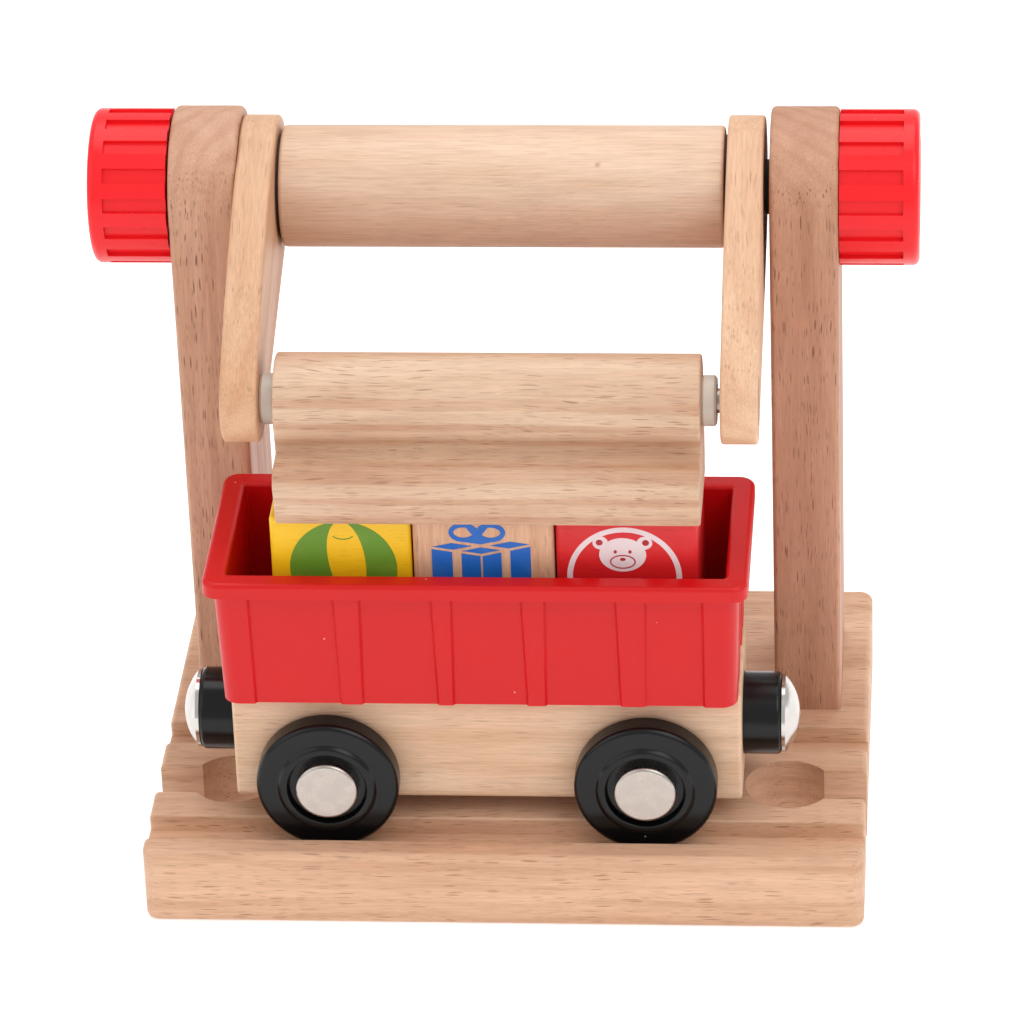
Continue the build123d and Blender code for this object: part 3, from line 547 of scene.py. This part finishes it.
def ball_parts():
    """A ball with one leaning leaf-shaped panel left open.

    The leaf's width is a power of a half sine wave along the line from its top to its foot.
    """
    centre, radii = np.array((0.3, 1.75)), (7.7, 7.7)
    lean, half_leaf = math.radians(6), 2.65
    top_angle, foot_angle, steps = -2, 168, 64
    top, foot = (arc(centre, radii, angle, angle, 1)[0] for angle in (top_angle, foot_angle))
    share = np.linspace(0, 1, steps)
    spine = top + (foot - top) * share[:, None]
    swell = (half_leaf * np.sin(math.pi * share ** 0.75) ** 0.6)[:, None]
    across = np.array((math.cos(lean), math.sin(lean)))
    leaf_left, leaf_right = spine - across * swell, spine + across * swell
    left = arc(centre, radii, top_angle, foot_angle - 360, steps)
    right = arc(centre, radii, top_angle, foot_angle, steps)
    return [(left, leaf_left), (leaf_right, right)]


def smile_parts():
    """A small smile on the ball's open panel."""
    return [stroke(arc((0.4, 7.5), (1.6, 0.95), 118, 242, 24), 0.16)]


def gift_parts():
    """A gift box seen from a corner, its ribbon left open on each face, with a bow on top."""
    front, top_front = (-0.3, 3.9), (-0.3, 4.25)
    to_left, to_right, down = (-7.2, 1.15), (7.1, 1.65), (0, -12.0)
    near, far = (0.02, 0.40), (0.58, 0.99)
    whole = (0.0, 1.0)
    parts = [patch(front, edge, down, u, whole) for edge in (to_left, to_right) for u in (near, far)]
    parts += [patch(top_front, to_left, to_right, u, v) for u in (near, far) for v in (near, far)]
    bow = (-0.85, 7.0)
    for side in (-1, 1):
        parts.append(stroke(arc((bow[0] + side * 1.95, bow[1] + 0.8), (1.75, 1.2), 0, 360, 48), 0.7))
        parts.append(stroke(straight(bow, (bow[0] + side * 1.5, bow[1] + 2.0), 6), 0.55))
    parts.append(disc(bow, (0.75, 0.6), 20))
    return parts


BEAR_HEAD = (-0.6, 4.3)


def bear_parts():
    """A round badge with a plain toy bear's head."""
    head = BEAR_HEAD
    parts = [ring((-0.4, 0.6), 7.8, 0.8), disc(head, (3.35, 2.75))]
    for side in (-1, 1):
        parts.append(disc((head[0] + side * 3.15, head[1] + 1.95), (1.1, 1.05)))
    return parts


def bear_line_parts():
    """The bear's ears, eyes, snout and nose in the paint's red."""
    head = BEAR_HEAD
    parts = [stroke(arc((head[0], head[1] - 1.15), (1.75, 1.05), 0, 360, 48), 0.2)]
    parts.append(disc((head[0], head[1] - 0.75), (0.42, 0.26), 16))
    for side in (-1, 1):
        parts.append(disc((head[0] + side * 3.3, head[1] + 2.0), (0.5, 0.48), 20))
        parts.append(disc((head[0] + side * 1.05, head[1] + 0.5), (0.24, 0.28), 16))
    return parts


green = ink("green printing ink", "649424", "96B040")
blue = ink("blue printing ink", "1268C6", "5F8CC0")
white = ink("white printing ink", "EFE0E2", "E3AFB2")
red = ink("red printing ink", "B01A24", "C8606A")
picture("picture_ball", ball_parts(), green, "cargo_yellow", "load_yellow")
picture("picture_smile", smile_parts(), green, "cargo_yellow", "load_yellow", first=2)
picture("picture_gift", gift_parts(), blue, "cargo_natural", "load_natural")
picture("picture_bear", bear_parts(), white, "cargo_red", "load_red")
picture("picture_bear_lines", bear_line_parts(), red, "cargo_red", "load_red", first=4)


# ---------------------------------------------------------------- floor, light and camera
FLOOR_SIZE = 6.0
FLOOR_GLOW = 0.35
AIM = (0, 0, 0.05)
# Each softbox: its name, its place, its side in metres and its power in watts.
SOFTBOXES = (
    ("key light", (0.55, -0.55, 0.95), 0.8, 4.3),
    ("fill light", (-0.8, -0.5, 0.6), 0.9, 1.9),
    ("top light", (0.0, 0.35, 1.1), 0.9, 5.4),
)
SKY_STRENGTH = 0.70
CAMERA_PLACE = Vector((67.94, -753.29, 485.12)) * MM
CAMERA_DOWN, CAMERA_SIDE, CAMERA_ROLL = math.radians(30.05), math.radians(5.11), math.radians(-2.19)
LENS_MM, SENSOR_MM = 208.49, 36.0
NEAREST, FARTHEST = 0.05, 20.0


def floor():
    """Plain pale studio floor."""
    bpy.ops.mesh.primitive_plane_add(size=FLOOR_SIZE)
    made = bpy.context.active_object
    made.name = "studio_floor"
    glow = {"Emission Color": linear("FFFFFF"), "Emission Strength": FLOOR_GLOW}
    material = new_material(
        "pale studio floor", Roughness=0.9, **{"Base Color": linear("F7F7F7")}, **glow,
    )[0]
    made.data.materials.append(material)


def softbox(name, place, size, power):
    """Square area light that faces the object."""
    light = bpy.data.lights.new(name, "AREA")
    light.size = size
    light.energy = power
    made = bpy.data.objects.new(name, light)
    made.location = place
    made.rotation_euler = (Vector(AIM) - Vector(place)).to_track_quat("-Z", "Y").to_euler()
    scene.collection.objects.link(made)


def sky():
    """Even white surround."""
    world = bpy.data.worlds.new("white surround")
    scene.world = world
    world.use_nodes = True
    background = world.node_tree.nodes["Background"]
    background.inputs["Color"].default_value = (1, 1, 1, 1)
    background.inputs["Strength"].default_value = SKY_STRENGTH


def camera():
    """Long lens from the front, above and slightly to the right, with a small roll."""
    down, side, roll = CAMERA_DOWN, CAMERA_SIDE, CAMERA_ROLL
    ahead = Vector((-math.sin(side) * math.cos(down), math.cos(side) * math.cos(down), -math.sin(down)))
    level = Vector((math.cos(side), math.sin(side), 0))
    over = level.cross(ahead)
    right = level * math.cos(roll) + over * math.sin(roll)
    up = over * math.cos(roll) - level * math.sin(roll)
    data = bpy.data.cameras.new("camera")
    data.lens, data.sensor_width = LENS_MM, SENSOR_MM
    data.clip_start, data.clip_end = NEAREST, FARTHEST
    made = bpy.data.objects.new("camera", data)
    turn = Matrix((right, up, -ahead)).transposed().to_4x4()
    made.matrix_world = Matrix.Translation(CAMERA_PLACE) @ turn
    scene.collection.objects.link(made)
    scene.camera = made


floor()
for box in SOFTBOXES:
    softbox(*box)
sky()
camera()
